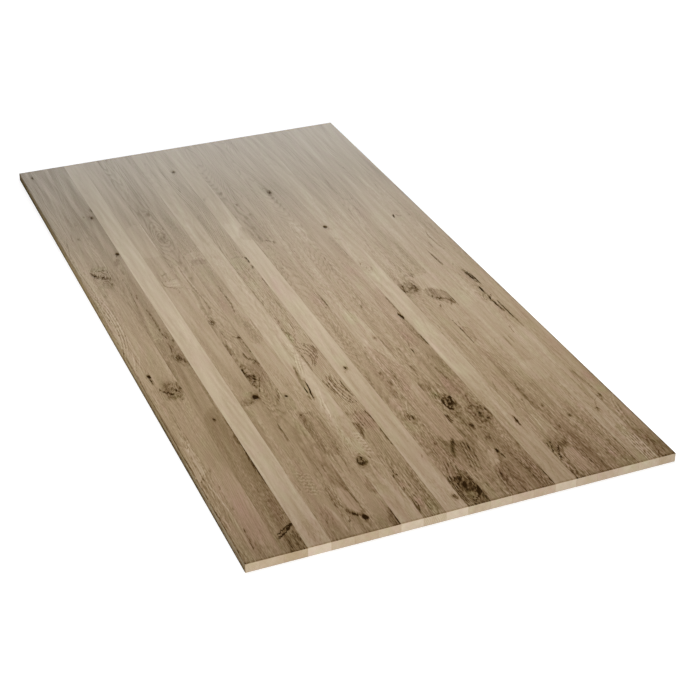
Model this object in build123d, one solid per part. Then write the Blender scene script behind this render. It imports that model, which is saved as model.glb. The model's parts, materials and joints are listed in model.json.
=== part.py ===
"""Glued laminated wood panel: full-length hardwood staves glued edge to edge, lying flat.

The panel is made the way the real one is. Planed staves are glued side by side into a slab,
the slab is trimmed to size, which rips the two outermost staves narrower, and the sharp outer
edges are eased. X runs across the staves, Y along them and Z up, in millimetres. The origin is
the middle of the underside.
"""

from build123d import *
from itertools import accumulate, pairwise
import os

# Sizes along the grain and through the panel
panel_length = 1800.0
panel_thickness = 20.0

# Stave widths, seam to seam, from the left side to the right
first_stave_width = 27.9  # what the trim leaves of the outermost stave on the left
whole_stave_width = 46.35
whole_stave_count = 18
last_stave_width = 37.8  # what the trim leaves of the outermost stave on the right

# Easing of the panel's outer edges: a 45 degree arris with this leg
arris = 0.5

# Worked out from the sizes above
stave_widths = [first_stave_width, *[whole_stave_width] * whole_stave_count, last_stave_width]
panel_width = sum(stave_widths)


def trimmed_slab():
    """The whole panel as trimmed and eased, with no seams in it yet."""
    on_underside = (Align.CENTER, Align.CENTER, Align.MIN)
    slab = Box(panel_width, panel_length, panel_thickness, align=on_underside)
    return chamfer(slab.edges(), arris)


def stave(slab, left_seam, right_seam):
    """The part of the slab between two seams: one stave, running the panel's whole length."""
    from_left_seam = (Align.MIN, Align.CENTER, Align.MIN)
    strip = Box(right_seam - left_seam, panel_length, panel_thickness, align=from_left_seam)
    return slab & Pos(left_seam, 0, 0) * strip


def panel():
    """Every stave by its node name, counted from the left side."""
    slab = trimmed_slab()
    seams = accumulate(stave_widths, initial=-panel_width / 2)
    return {
        f"stave_{number:02d}": stave(slab, left_seam, right_seam)
        for number, (left_seam, right_seam) in enumerate(pairwise(seams), start=1)
    }


os.makedirs("parts", exist_ok=True)
for node, solid in panel().items():
    export_step(solid, f"parts/{node}.step")
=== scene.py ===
"""The looks of the glued laminated wood panel: every stave as its own board of knotty hardwood.

Each stave gets a closed mesh in the place of its CAD node, with real pits and cracks in its top
face. A small model of how the tree grew, in millimetres, gives every point of the mesh its growth
ring, its fibre and what marks it, and one wood shader turns these into colour, gloss and bump.
"""

from dataclasses import dataclass
import json
import math

import bpy
import bmesh
import numpy as np
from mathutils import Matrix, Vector


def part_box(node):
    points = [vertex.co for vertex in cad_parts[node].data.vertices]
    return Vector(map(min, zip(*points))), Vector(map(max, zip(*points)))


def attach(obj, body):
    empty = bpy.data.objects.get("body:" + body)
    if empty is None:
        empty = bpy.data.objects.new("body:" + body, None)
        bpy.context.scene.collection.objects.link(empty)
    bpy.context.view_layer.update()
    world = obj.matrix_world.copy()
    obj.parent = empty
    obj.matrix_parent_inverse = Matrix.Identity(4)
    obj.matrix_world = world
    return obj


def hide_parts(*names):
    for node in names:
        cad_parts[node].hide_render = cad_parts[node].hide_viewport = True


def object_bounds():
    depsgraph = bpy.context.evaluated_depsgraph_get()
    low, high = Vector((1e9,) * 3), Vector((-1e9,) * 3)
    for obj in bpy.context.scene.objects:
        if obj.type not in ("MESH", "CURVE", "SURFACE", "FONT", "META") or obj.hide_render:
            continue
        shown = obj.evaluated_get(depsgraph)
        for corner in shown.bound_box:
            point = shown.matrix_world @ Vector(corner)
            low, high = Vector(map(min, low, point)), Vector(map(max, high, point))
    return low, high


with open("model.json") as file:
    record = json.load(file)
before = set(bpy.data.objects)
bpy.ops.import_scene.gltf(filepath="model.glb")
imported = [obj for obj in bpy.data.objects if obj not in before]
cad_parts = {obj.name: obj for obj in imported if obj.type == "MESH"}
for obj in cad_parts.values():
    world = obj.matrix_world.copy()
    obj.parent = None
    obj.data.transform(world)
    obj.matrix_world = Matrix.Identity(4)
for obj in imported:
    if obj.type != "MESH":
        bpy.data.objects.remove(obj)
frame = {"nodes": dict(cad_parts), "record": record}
cad_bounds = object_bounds()

# Units and the panel's own sizes, in millimetres unless a name says otherwise
METRES = 0.001
NODES = sorted(frame["nodes"])
THICKNESS = (cad_bounds[1].z - cad_bounds[0].z) / METRES
LENGTH = (cad_bounds[1].y - cad_bounds[0].y) / METRES
ARRIS = 0.5


@dataclass
class Stave:
    """One stave's own wood. Each row of its lists is one mark, in the order given here.

    Places are in millimetres: x from the stave's left seam, y from the panel's near end. In the
    lists and in varies, shades, tints and the black share are in hundredths. A shade above 0 is
    darker than the stave's tone. A tint above 0 is pinker, below 0 greener.
    """

    tone: float  # 0 is cream sapwood, 1 is dark brown heartwood
    # varies is partly the wood's own tone and partly painted shade and light, most of it towards the far
    # end
    varies: tuple  # how its darkness changes along it: y, shade, y, shade, and so on
    ring: float = 2.6  # millimetres between growth rings
    lines: float = 0.5  # how strongly the rings show
    pith: tuple = (20.0, -45.0)  # the tree's centre at the near end: across, and above the underside
    rise: float = 0.0  # how far the centre moves up for each mm along
    sway: float = 6.0  # how far the trunk wandered
    fleck: float = 0.3  # how strongly the rays show as pale flecks
    tint: float = 0.0
    strokes: tuple = ()  # lines tapered at both ends: width, shade, then each point's x, y
    tinted: tuple = ()  # the same with a tint: width, shade, tint, points
    splits: tuple = ()  # the same with a black middle: width, shade, width of the black, points
    areas: tuple = ()  # stains with an edge: shade, tint, points of the outline
    patches: tuple = ()  # stains with none: x, y, half sizes across and along, shade, tint
    knots: tuple = ()  # branches: x, y, half sizes, black share, shade, reach of the stain, rings
    cracks: tuple = ()  # drying cracks, which the mesh follows: width, points


stave_1 = Stave(
    0.6, ring=3, lines=0.6, pith=(60, -20), sway=8,
    varies=(32,0, 105,-4, 215,-9, 350,5, 510,5, 700,-13, 1175,-14, 1425,0, 1700,9),
    strokes=[
        (2.2, -18, 27,142, 21,215, 17,258, 22,305), (2.4, -16, 14,372, 21,392, 27,412),
        (3, 16, 4,262, 14,281), (5, 8, 26,308, 21,368), (1.8, -16, 2,702, 12,745, 20,792),
        (1.8, 14, 6,704, 16,742, 25,782), (1.8, -12, 13,706, 22,738, 27,762),
        *((1.8, -16, x-18,770, x-7,822, x,885, x,975, x-8,1048, x-18,1098) for x in (12, 18, 24)),
        *((1.8, 20, x-18,770, x-7,822, x,885, x,975, x-8,1048, x-18,1098) for x in (15, 21, 27)),
        (2.4, 22, 21,1368, 8,1287, 6,1213, 9,1148, 13,1085, 9,985, 13,902), (2, 16, 25,435, 14,346, 14,238),
        (1.8, -14, 27,1095, 16,1150, 6,1195), (1.8, 12, 27,1120, 17,1175, 9,1215),
        (1.8, -12, 27,1140, 20,1180, 14,1215), (2.5, 14, 12,1312, 14,1345, 24,1380),
    ],
    tinted=[(6, -6, 90, 16,508, 18,556), (5, 30, -30, 23,640, 24,664)],
    areas=[
        (6, 0, 0,120, 20,130, 21,230, 14,280, 5,262, 0,250),
        (-15, 0, 3,264, 13,284, 23,302, 25,372, 15,384, 3,398, 0,330),
        (-8, 0, 0,400, 12,405, 15,450, 10,530, 0,545),
    ],
    patches=[(14,30, 16,60, 7, -50)],
    knots=[(24,675, 4.2,9, 75, 35, 16, 2.5), (26,1755, 2.6,7, 60, 35, 22, 2.5)],
)

stave_2 = Stave(
    0.62, ring=2.4, lines=0.35, pith=(70, -30),
    varies=(32,2, 105,-3, 350,-5, 700,-11, 925,-5, 1175,-12, 1425,-2, 1665,2),
    strokes=[
        (2.6, 22, 1,30, 3,72, 4,106), (4, 16, 3,86, 4,104), (1.8, 12, 8,0, 9,60),
        (1.6, 12, 3,150, 4,230, 2,300), (3.4, 18, 4,232, 7,246), (4.5, 16, 2,285, 8,306),
        (3, 14, 7,158, 7,170), (4.5, 26, 42,596, 44,612, 42,630), (4, 20, 12,614, 20,622, 30,634),
        (3.5, 20, 24,604, 30,618), (2.5, 14, 28,572, 32,566, 42,560), (3, 25, 1,608, 4,622),
        (4.5, 20, 3,1042, 6,1064), (3, 24, 14,1180, 30,1176, 44,1180), (3, 20, 32,1100, 38,1108),
        (5, 16, 10,1196, 6,1180), (4, 18, 32,1432, 35,1450),
    ],
    tinted=[(2.6, 20, 30, 4,1345, 8,1395)],
    splits=[
        (8, 38, 2.8, 7,605, 14,598, 21,590, 27,588), (6, 32, 1.8, 39,588, 36,598, 30,606),
        (11, 46, 3.4, 2,1176, 7,1158, 13,1148, 24,1139), (8, 50, 3, 24,1139, 33,1133, 42,1126),
        (8, 26, 2, 20,1138, 26,1146), (5, 34, 1.6, 39,1164, 44,1172),
    ],
    patches=[
        (24,20, 22,36, 5, -60), (22,110, 28,120, -2, 130), (22,215, 24,95, -8, 50), (14,450, 14,60, 0, 50),
        (30,385, 14,26, 0, -70), (24,577, 15,9, 10, -80), (20,730, 20,60, 4, -40),
        (26,1186, 14,13, 6, -120), (20,1096, 12,12, 8, -80), (22,1420, 22,90, 6, 0),
    ],
    knots=[(26,604, 19,30, 0, 21, 8, 7), (24,1150, 23,46, 0, 17, 10, 5), (20,1358, 2.6,5, 0, 25, 3, 2.5)],
)

stave_3 = Stave(
    0.71, ring=2.2, lines=0.4, pith=(-34, -36),
    varies=(32,2, 215,0, 350,-6, 510,-9, 700,0, 925,-4, 1425,-10, 1665,-8),
    strokes=[
        (2.4, 12, 21,0, 22,48), (2.6, 12, 33,0, 34,50), (3, 16, 43,0, 43,55), (3, -12, 33,94, 45,95),
        (3, -12, 31,108, 46,113), (2.4, 10, 24,150, 38,153), (2.4, 10, 24,162, 38,166),
        (5, 16, 22,196, 24,206), (3.4, 34, 46,208, 45.5,300, 46,362), (2.4, 16, 41,262, 43,330),
        (2.4, 16, 46,400, 44,470), (6, 20, 46,690, 39,712, 32,728), (7, 14, 34,690, 24,722, 20,742),
        (2.6, 18, 24,742, 28,770, 28,800), (4.2, 30, 34,806, 29,838, 30,890, 29,940, 27,958),
        (3, -12, 0,814, 12,820, 28,812), (2.4, 20, 13,970, 14,1010, 17,1062), (3, 26, 22,1008, 26,1036),
        (2.4, 20, 22,1066, 17,1092), (3.4, 18, 14,1098, 18,1122), (5, 22, 26,1138, 28,1166),
        (2, 20, 24,1170, 21,1192), (3.5, 25, 17,1468, 18,1482),
    ],
    tinted=[
        (15, 14, -20, 6,46, 18,58, 32,70, 46,80), (5, 12, -30, 41,480, 43,570, 40,650),
        (8, 10, -40, 31,812, 36,832, 34,850),
    ],
    splits=[
        (2.4, 34, 0.8, 4,50, 14,52, 26,60), (2.8, 30, 1, 6,44, 22,56, 38,70, 46,80),
        (3, 30, 1, 8,56, 20,66, 34,76, 46,82), (8, 30, 2, 30,66, 38,74, 46,81), (5, 30, 1, 42,796, 43,806),
        (4, 34, 1.2, 34,1228, 37,1234),
    ],
    areas=[
        (14, -30, 17,-4, 18,24, 20,52, 50,52, 50,-4),
        (8, 0, 18,84, 17,150, 14,250, 9,310, 3,400, 8,480, 50,480, 50,84),
        (20, -10, 47,345, 41,368, 39,385, 47,404), (-2, -80, 8,820, 26,820, 26,900, 8,900),
        (24, 40, 20,1188, 24,1212, 33,1222, 37,1216, 30,1192),
    ],
    patches=[
        (8,25, 10,30, 4, -50), (33,130, 12,50, 3, 60), (34,765, 10,26, 8, 40), (20,1440, 14,40, 6, -60),
        (23,1680, 24,100, -7, -60),
    ],
    knots=[
        (25,466, 2.2,4.5, 60, 35, 12, 2.5), (33,724, 5,10, 20, 34, 10, 4), (41,1246, 5.6,7, 90, 35, 8, 2.5),
        (34,1463, 5.5,10, 55, 35, 8, 2.5), (45,1507, 3,8, 40, 35, 10, 2.5),
    ],
)

stave_4 = Stave(
    0.31, ring=3.4, lines=0.1, pith=(15, -90), sway=4, fleck=0.15, tint=-0.15,
    varies=(32,-3, 105,5, 215,-2, 925,-8, 1175,-6, 1425,3, 1615,18, 1732,24),
    strokes=[
        (4, -12, 2,112, 4,200, 2,312), (1.6, 8, 45,0, 45.5,240),
        *((1.6, 7, x,8, x+12,50) for x in (8, 18, 28)), (2, 5, 10,100, 34,92),
    ],
    areas=[(4, 0, -4,-4, 50,-4, 50,60, 36,82, 8,74, -4,80)],
    patches=[
        (23,25, 26,60, 11, 30), (25,160, 18,20, -1, -50), (22,285, 20,30, 0, -40), (20,335, 18,26, 0, 60),
        (24,700, 20,40, 0, 50),
    ],
)

stave_5 = Stave(
    0.56, ring=2, lines=0.3, pith=(-60, 5), fleck=0.7,
    varies=(32,5, 105,3, 510,4, 700,-7, 925,-12, 1175,-4, 1425,-2, 1700,-7),
    strokes=[
        (5, -15, 40,14, 38,70, 31,108), *((3.2, -10, 12,y+8, 42,y-8) for y in range(148, 232, 12)),
        *((2.4, 9, 10,y+15, 38,y-1) for y in range(148, 220, 12)),
        *((1.8, 14, 14+5*i,40, 13+5*i,108) for i in range(4)), (3, 12, 5,170, 5,200),
        (7, 18, 45,338, 45.5,402), (6, 26, 20,494, 30,497), (2.5, 14, 5,492, 20,487, 34,494),
        (3, 28, 7,1071, 8,1044, 29,1028, 45,1023), (2.6, 20, 22,1110, 45,1108),
        (3, 14, 22,1028, 32,1012, 26,998), (3.4, -16, 8,1046, 24,1042, 42,1040),
        (3.4, -14, 12,1058, 28,1055, 44,1056), (3.4, 24, 4,1068, 22,1069, 46,1072),
        (6, 24, 16,1098, 28,1106), (3, 20, 36,1104, 42,1110), (3, -24, 44,1222, 44.5,1384),
        (3, 20, 3,1672, 5,1680),
    ],
    tinted=[(4, 12, -50, 26,530, 38,534)],
    areas=[
        (14, 0, 3,488, 20,490, 30,500, 22,512, 6,508), (-5, 0, 6,1046, 40,1034, 48,1050, 44,1068, 12,1070),
        (5, 0, 4,1072, 44,1070, 44,1100, 8,1098), (-10, 0, -4,1215, 50,1206, 50,1320, 34,1380, -4,1345),
    ],
    patches=[
        (24,15, 26,40, 10, 0), (19,72, 15,40, 3, 110), (28,530, 13,10, -2, -120), (10,460, 12,14, 0, -90),
        (26,1350, 22,90, 5, 0),
    ],
    knots=[(39,513, 8.5,10.5, 78, 30, 7, 4)],
)

stave_6 = Stave(
    0.64, ring=2.8, lines=0.55, pith=(18, -40), rise=0.004, sway=8,
    varies=(32,1, 105,8, 215,-3, 560,-6, 700,-1, 925,-16, 1425,1, 1665,-4),
    strokes=[
        (2.4, 18, 20,72, 12,96, 14,125, 18,152), (2.6, 24, 6,38, 14,60), (2.2, 14, 3,60, 3,110, 6,170),
        (2.5, 14, 24,0, 27,35), (3.6, 12, 45,58, 44,105, 38,156, 28,200), (2.4, 18, 15,192, 16,248),
        (2.4, 14, 26,196, 28,240), (2.2, 20, 30,470, 36,500, 46,540), (2.2, 20, 36,482, 41,508, 46,528),
        (2.2, 22, 14,548, 22,572, 32,592), (2.2, 22, 6,528, 18,556),
        *((2.2, 26, 3,y, 9,y+4, 14,y+1) for y in (552, 560, 568)), (7, 22, 1,694, 4,720, 1,748),
        (2, -15, 12,682, 12,800), (5, 10, 8,700, 17,730), (2.6, 22, 40,754, 34,762, 28,768),
        (2.4, 24, 45,680, 44,750), (2.4, 18, 12,770, 13,800),
        (2.4, 22, 6,1142, 18,1137, 17,1083, 19,1011, 24,940, 24,880),
        (2.2, -14, 22,1136, 21,1083, 23,1011, 28,940), (2.6, 22, 1,1019, 10,1010, 14,990),
        (6, 24, 25,1256, 28,1272, 34,1290, 38,1306), (4, 28, 24,1272, 26,1296), (3, 20, 43,1326, 44,1344),
        (4, 14, 36,1430, 42,1456),
    ],
    tinted=[
        (8, 32, 20, 38,52, 30,58, 22,66, 14,82), (7, 20, 40, 28,56, 23,66), (5, 16, -80, 34,640, 40,652),
        (10, 8, -50, 8,888, 14,945, 12,1005),
    ],
    splits=[
        (9, 36, 2.6, 15,576, 12,590, 6,600), (6, 34, 1.6, 3,606, 2,626), (4, 30, 1.4, 18,586, 16,594),
        (6.5, 26, 0.5, 45,630, 42,646, 36,657, 28,668, 26,692),
    ],
    areas=[
        (-15, 50, 41,64, 24,78, 19,108, 24,150, 36,140, 43,100),
        (5, 40, 24,170, 46,150, 48,300, 14,300, 16,230), (4, -20, 10,440, 46,444, 48,560, 30,560, 12,520),
        (10, 60, 22,566, 44,566, 48,640, 22,632), (7, 30, 20,1135, 44,1130, 46,1262, 26,1235),
    ],
    patches=[
        (37,365, 11,45, 5, -100), (34,328, 10,14, 2, 80), (16,1150, 12,20, 6, -80),
        (42,1280, 8,14, -2, -100), (22,1700, 24,130, -10, -60),
    ],
    knots=[
        (40,46, 5.5,8.5, 90, 30, 8, 4), (9,594, 10,42, 0, 24, 10, 8), (41,755, 3,5, 20, 35, 5, 2.5),
        (6,842, 5.5,9, 25, 42, 16, 3), (30,1288, 10,26, 0, 14, 6, 6), (33,1426, 3.6,7, 20, 36, 6, 2.5),
    ],
)

stave_7 = Stave(
    0.53, ring=2.4, lines=0.4, pith=(76, -20),
    varies=(32,13, 105,3, 215,5, 350,0, 700,-10, 925,-3, 1175,10, 1665,6),
    strokes=[
        (3, 30, 45,0, 46,54), (2.4, 14, 22,178, 27,230, 26,264), (7, 10, 10,198, 14,256),
        (1.8, -10, 34,180, 30,262), (3, 14, 2,404, 12,416, 34,408),
        (3.6, 26, 24,862, 29,918, 28,960, 30,1004), (3.4, 22, 28,918, 28,954), (7, 16, 20,1136, 26,1146),
        (1.8, 20, 10,1152, 26,1149, 42,1156), (1.8, 18, 12,1164, 28,1162, 42,1170),
        (1.8, 16, 14,1176, 28,1174, 40,1180), (3, 20, 22,1186, 24,1196),
    ],
    tinted=[
        (3, -10, -80, 44,84, 40,108), (6, 8, 30, 4,384, 12,398, 13,414), (4, 12, -50, 31,262, 36,300),
        (8, 6, -80, 14,800, 18,850),
    ],
    areas=[
        (20, 70, 48,-4, 32,0, 30,20, 36,40, 44,54, 48,54),
        (14, 40, 48,106, 38,113, 31,124, 36,142, 45,166, 48,168),
        (11, 20, 4,262, 38,256, 42,330, 36,408, 14,424, -2,412, -2,300),
        (8, 0, -2,340, 10,346, 20,376, 16,408, 4,418, -2,416),
        (10, -70, -2,438, 10,444, 14,470, 12,500, -2,500), (9, 0, 14,722, 46,735, 48,830, 20,800),
        (12, 60, 8,1128, 26,1118, 42,1120, 38,1146, 26,1150, 12,1146),
        (-10, 0, 6,1150, 20,1146, 38,1140, 45,1158, 44,1182, 24,1186, 8,1178),
    ],
    patches=[
        (14,14, 14,26, 10, -90), (23,940, 25,190, 7, 0), (14,905, 11,48, 2, 110), (24,1062, 18,56, 2, -100),
        (23,1290, 25,90, 8, 0), (30,1375, 14,30, 2, -80),
    ],
    knots=[(6,492, 3,3.6, 95, 25, 4, 2.5)],
)

stave_8 = Stave(
    0.35, ring=3.2, lines=0.25, pith=(20, -58), rise=0.01, sway=8, tint=-0.1,
    varies=(32,5, 215,18, 350,7, 700,-3, 1175,3, 1425,10, 1665,24),
    strokes=[
        (2.4, -20, 9,207, 13,220), (2, -16, 17,206, 19,216), (3, 20, 8,202, 12,206, 20,208),
        (3.4, 18, 10,232, 17,238, 18,246), (3.4, 15, 24,205, 27,185, 28,150, 32,138),
        (1.6, 10, 32,140, 38,105, 42,60), (4, -12, 46,186, 38,202, 29,218), (3, 14, 34,216, 30,226),
        *((5, -12, 46,y-4, 32,y+4) for y in range(236, 310, 12)),
        *((3, 10, 46,y+2, 34,y+9) for y in range(236, 298, 12)), (1.8, 14, 10,250, 12,300, 13,352),
        (1.6, 12, 20,278, 24,300), (1.8, 12, 9,372, 16,392, 22,404), (4, 12, 22,410, 25,436, 22,462),
        (3.4, 24, 4,455, 1.5,480), (5, 26, 8,455, 11,480, 15,500, 17,534), (4, 10, 9,552, 13,574, 16,590),
        (3.2, -16, 26,456, 22,435, 19,403, 14,378), (2.6, -14, 22,463, 13,422), (2.4, 14, 17,440, 15,410),
        (3, 20, 18,532, 20,546), *((1.6, -10, x,452, x+10,500) for x in (16, 24)),
        *((1.8, 18, x,552, x+10,600, x+20,642) for x in (14, 20, 26)),
        *((1.8, -16, x,560, x+10,606, x+18,642) for x in (17, 23)),
        *((2.6, 16, 46,y, 30,y+12) for y in (588, 606, 624, 642)), (3, 10, 45,618, 36,626),
        (3, 10, 38,640, 45,668), (4, -10, 45,672, 36,690),
    ],
    tinted=[(7, 24, -40, 3,464, 6,484, 7,519, 11,553, 17,596)],
    splits=[(4, 30, 0.6, 3,213, 6,224), (5, 28, 1, 12,216, 17,227)],
    areas=[
        (14, -80, 3,204, 13,198, 22,206, 23,219, 16,230, 5,226),
        (-3, -80, 12,244, 30,238, 34,280, 24,304, 10,290),
        (-7, 0, 15,400, 30,380, 46,400, 46,600, 26,610, 16,500),
    ],
    patches=[
        (23,20, 26,50, 6, 0), (10,60, 12,40, 0, 50), (12,115, 12,20, -2, -80), (20,650, 16,60, -2, -80),
        (36,1250, 16,90, 4, 0),
    ],
    knots=[(13,214, 9.5,13, 0, 28, 5, 6), (6,198, 4.5,7, 0, 16, 4, 2)],
    cracks=[(2.4, 9,459, 11,480, 15,500, 17,532), (2.2, 6,484, 6.5,498, 7,512)],
)

stave_9 = Stave(
    0.56, ring=3.7, lines=0.8, pith=(-46, -10), sway=9, tint=-0.2,
    varies=(32,7, 105,12, 215,9, 350,-1, 510,-8, 925,-4, 1425,4, 1665,-10),
    strokes=[
        (3, 30, 1,12, 3,60), (3, 30, 3,24, 9,46), (2.4, 28, 12,34, 6,60, 4,78), (2.4, 24, 15,52, 12,84),
        (3, 30, 2,88, 6,108), *((1.8, 16, x,20, x-4,70, x-6,120) for x in (24, 30, 36, 42)),
        (6.5, 28, 1,140, 8,146, 14,150), (4.5, 22, 7,158, 12,170, 16,184), (4.5, 22, 1,206, 4,216),
        (4.5, 16, 1,288, 6,306, 8,330, 4,348), (4, 14, 26,256, 30,266), (3, 26, 45,238, 44,262, 45,314),
        (3, 14, 12,372, 26,384, 34,396), (5, 16, 3,372, 6,388), (2.2, -14, 34,406, 24,440, 18,480, 18,515),
        (3, 18, 3,506, 8,522), (2.6, 24, 2,560, 3,640), (3, 20, 1,709, 7,701, 14,698, 13,713, 7,725),
        (3, 22, 2,758, 4,741, 10,733, 13,722, 19,716), (2.6, 20, 18,712, 23,724, 27,750, 27,777, 22,790),
        (3.4, 22, 5,687, 4,706, 7,725, 4,742, 5,770, 3,786), (4, 22, 7,778, 7,800, 3,818),
        (5, 16, 4,836, 9,852), (5, 20, 3,872, 8,892), (4.5, 20, 3,904, 6,916), (4.5, 20, 2,930, 6,948),
        (3, 16, 40,862, 36,872), (2.6, 22, 45,942, 44,1004), (3, 16, 26,1036, 32,1052),
        (4, 22, 2,1056, 8,1068), (2.4, 14, 38,1140, 32,1160, 29,1190), (4, 14, 4,1344, 8,1372),
        (4.5, 18, 10,1520, 15,1558),
    ],
    tinted=[
        (5, 0, 60, 41,378, 45,356, 45,332),
        *((2.4, 20, 80, x,378, x+1,345, x+3,312) for x in (10, 16, 22, 30)),
        *((3, 29, 80, *line) for line in (
            (31,409, 21,439, 17,453, 14,480, 15,513, 20,534),
            (37,406, 27,441, 22,476, 21,494, 22,517, 27,538),
            (42,410, 34,444, 27,478, 25,496, 26,518, 32,543),
            (44,435, 37,469, 34,485, 32,506, 35,531),
            (44,448, 40,470, 39,490, 41,510),
            (11,456, 11,472, 8,496, 6,517),
            (1,657, 6,644, 15,633, 18,619, 16,602, 10,584),
            (3,678, 10,660, 18,650, 22,634, 23,616, 19,597, 11,574),
            (8,696, 19,676, 24,662, 28,644, 29,624, 25,602, 17,581),
            (20,684, 29,667, 33,651, 34,633, 30,604),
            (30,674, 36,660, 38,643, 37,620),
            (36,667, 40,651, 41,633),
        )),
        (4, 0, 120, 16,552, 22,568), (4, -8, 100, 8,1000, 14,1038), (6, 18, -30, 41,1112, 26,1120, 8,1114),
    ],
    splits=[
        (5, 30, 0.8, 41,378, 45,356, 45,332), (6, 34, 1.6, 40,1050, 44,1058, 43,1070),
        (5.5, 42, 2.2, 43,1078, 45,1096, 42,1116),
    ],
    areas=[
        (18, 40, -1,284, 4,284, 9,298, 11,318, 7,340, -1,346), (-8, -120, -1,690, 10,696, 12,722, -1,728),
        (0, -110, 4,1066, 18,1052, 36,1072, 38,1100, 22,1114, 6,1112),
    ],
    patches=[
        (23,20, 26,40, 6, 0), (31,28, 12,28, 6, -140), (13,52, 9,18, 2, 150), (8,112, 7,14, 0, 150),
        (32,345, 24,44, 7, 160), (30,610, 20,50, 3, 60), (14,975, 14,26, -4, -110),
    ],
    knots=[(31,1648, 5,7.5, 75, 36, 10, 2.5)],
)

stave_10 = Stave(
    0.31, ring=3.2, lines=0.12, pith=(60, -80), sway=4, fleck=0.15, tint=-0.05,
    varies=(32,5, 105,8, 350,5, 510,3, 700,-6, 1175,-5, 1425,9, 1615,20, 1732,25),
    strokes=[
        (2, 10, 28,22, 34,32), (2.6, 34, 46,-2, 46,94), (3.4, 12, 33,176, 37,190), (3, 12, 14,526, 20,540),
        (2, 12, 31,556, 33,578), (5, 22, 42,1236, 45,1270), (8, 20, 4,1444, 9,1458, 11,1466),
        (4, 16, 17,1462, 20,1472),
    ],
    tinted=[(4, 5, 80, 22,600, 24,636)],
    areas=[(-9, 0, 4,1226, 18,1216, 30,1232, 28,1284, 8,1300), (14, 0, 20,1212, 46,1194, 48,1262, 34,1262)],
    patches=[
        (23,20, 26,50, 5, 0), (34,180, 14,26, 2, 70), (10,260, 12,40, -2, -50), (24,580, 14,30, -2, -90),
        (20,940, 18,60, 0, 90), (24,830, 20,40, 0, -60), (38,1470, 12,80, 12, 0), (23,1350, 24,50, 6, 0),
    ],
    knots=[(37,38, 4.2,7, 10, 42, 5, 2.5), (24,547, 3.6,7.5, 50, 50, 4, 2.5)],
)

stave_11 = Stave(
    0.54, ring=2.6, lines=0.5, pith=(14, -38), rise=0.006, sway=8, tint=0.05,
    varies=(32,10, 70,2, 215,10, 350,5, 925,-4, 1175,3, 1425,7, 1665,-4),
    strokes=[
        (2.6, 16, 4,10, 8,50, 6,96), (2.6, 20, 12,45, 14,60, 12,92), (2.6, 20, 3,60, 3,100),
        (6, 26, 44,60, 42,80, 45,102), (4, 26, 46,-2, 45,24),
        *((2.4, 22, x,84, x+6,122, x+14,160) for x in (8, 14, 21, 28)), (2.4, 14, 18,160, 20,204),
        (6, 18, 30,205, 34,222), (2, -12, 18,308, 22,304, 30,306), (2.4, -14, 27,330, 34,355, 45,384),
        (6, 18, 41,388, 42,402), (8, 18, 36,478, 40,506), (4, 18, 2,448, 6,474, 4,500),
        (3, 12, 14,560, 20,590), (3, 14, 22,620, 25,644), (4, 10, 34,545, 42,592), (3, 26, 45,800, 46,866),
        (4, 16, 37,800, 40,812), (4, 14, 14,1146, 20,1130), (6, 8, 26,1192, 44,1184),
        (5, 14, 40,1322, 43,1334), (4.5, 22, 3,1456, 9,1468, 16,1484), (3, 20, 12,1462, 18,1480),
    ],
    tinted=[
        (6, 20, 30, 23,76, 24,96), (7, 16, 30, 36,408, 38,424), (8, 22, 30, 42,440, 41,464),
        (3, 10, 70, 20,1030, 26,1064),
    ],
    splits=[
        (8, 38, 3.6, 22,53, 24,62, 27,78), (8, 38, 3.6, 35,29, 41,38, 44,50), (6, 30, 2.6, 36,46, 42,53),
        (3.6, 32, 1, 18,9, 28,16), (3.6, 32, 1, 32,19, 20,24), (7, 36, 1.2, 28,1176, 34,1170, 38,1166),
        (7, 36, 1.4, 42,1150, 44,1168),
    ],
    areas=[
        (22, -60, -4,-4, 50,-4, 50,102, 32,108, 18,96, -4,106),
        (-10, -80, 14,25, 32,26, 36,34, 28,44, 14,42), (10, 0, 4,1184, 40,1178, 48,1200, 48,1330, 14,1300),
    ],
    patches=[
        (22,150, 34,110, 8, 60), (14,286, 14,26, -2, -120), (16,375, 14,26, -4, 140),
        (30,390, 12,16, 0, -60), (34,470, 13,90, 6, 70), (32,850, 16,36, 5, 90), (12,1105, 12,26, -2, -100),
    ],
    knots=[
        (24,66, 11,18, 0, 20, 10, 7), (40,40, 10,15, 0, 20, 8, 7), (26,318, 6.5,11, 5, 36, 5, 4),
        (28,1393, 2.8,5, 50, 30, 4, 2.5),
    ],
)

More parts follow.
